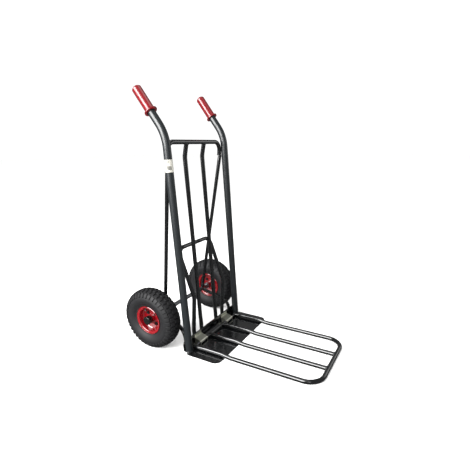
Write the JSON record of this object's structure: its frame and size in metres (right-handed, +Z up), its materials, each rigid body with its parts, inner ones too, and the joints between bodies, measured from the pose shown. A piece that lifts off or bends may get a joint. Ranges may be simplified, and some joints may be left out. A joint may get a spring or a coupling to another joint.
{
  "type": "hand truck",
  "caption": "Two-wheeled tubular-steel hand truck with bent-back handles, pneumatic tyres, a short toe plate and a tubular load extension that folds up.",
  "frame": {"origin": "on the underside of the toe plate, midway between the feet of the two main tubes, at floor level", "axes": "+Z up, -Y towards the load side where the extension lies, +X to the right-hand side seen by the person at the handles"},
  "size_m": [0.5358, 0.863, 1.0403],
  "materials": {
    "frame_paint": "anthracite gloss powder coat",
    "tube_paint": "near-black gloss powder coat",
    "zinc_plate": "zinc-plated steel",
    "axle_steel": "bright bar steel",
    "bolt_steel": "black-phosphated steel",
    "grip_red": "dipped soft PVC",
    "rim_red": "gloss red enamel",
    "tyre_rubber": "moulded rubber",
    "tube_rubber": "butyl rubber",
    "black_plastic": "moulded black plastic",
    "label_paper": "printed sticker"
  },
  "bodies": {
    "frame": {"arch_tube": "tube_paint", "axle": "axle_steel", "axle_collar_left": "axle_steel", "axle_collar_right": "axle_steel", "grip_left": "grip_red", "grip_right": "grip_red", "hinge_bracket_left": "zinc_plate", "hinge_bracket_right": "zinc_plate", "hinge_rivets": "zinc_plate", "inner_bar_left": "tube_paint", "inner_bar_right": "tube_paint", "inner_washer_left": "axle_steel", "inner_washer_right": "axle_steel", "label": "label_paper", "lower_brace_left": "tube_paint", "lower_brace_right": "tube_paint", "main_tube_left": "frame_paint", "main_tube_right": "frame_paint", "outer_washer_left": "axle_steel", "outer_washer_right": "axle_steel", "rear_hoop": "tube_paint", "rear_strut_left": "tube_paint", "rear_strut_right": "tube_paint", "split_pin_left": "axle_steel", "split_pin_right": "axle_steel", "toe_plate": "tube_paint"},
    "extension": {"extension_hoop": "tube_paint", "extension_rail_left": "tube_paint", "extension_rail_right": "tube_paint", "hinge_rod": "tube_paint"},
    "left_wheel": {"tyre_left": "tyre_rubber", "inner_tube_left": "tube_rubber", "valve_left": "tube_rubber", "valve_cap_left": "black_plastic", "rim_outer_left": "rim_red", "rim_inner_left": "rim_red", "rim_bolts_left": "bolt_steel", "rim_nuts_left": "bolt_steel", "hub_left": "rim_red", "bearing_outer_left": "axle_steel", "bearing_inner_left": "axle_steel", "hub_cap_left": "black_plastic"},
    "right_wheel": {"tyre_right": "tyre_rubber", "inner_tube_right": "tube_rubber", "valve_right": "tube_rubber", "valve_cap_right": "black_plastic", "rim_outer_right": "rim_red", "rim_inner_right": "rim_red", "rim_bolts_right": "bolt_steel", "rim_nuts_right": "bolt_steel", "hub_right": "rim_red", "bearing_outer_right": "axle_steel", "bearing_inner_right": "axle_steel", "hub_cap_right": "black_plastic"}
  },
  "joints": [
    {"name": "extension_fold", "type": "hinge", "parent": "frame", "child": "extension", "pos_m": [0, -0.01, 0.0134], "axis": [-1, 0, 0], "range_deg": [0, 95]},
    {"name": "left_wheel_spin", "type": "hinge", "parent": "frame", "child": "left_wheel", "pos_m": [-0.225, 0.165, 0.133], "axis": [1, 0, 0], "continuous": true},
    {"name": "right_wheel_spin", "type": "hinge", "parent": "frame", "child": "right_wheel", "pos_m": [0.225, 0.165, 0.133], "axis": [1, 0, 0], "continuous": true}
  ]
}
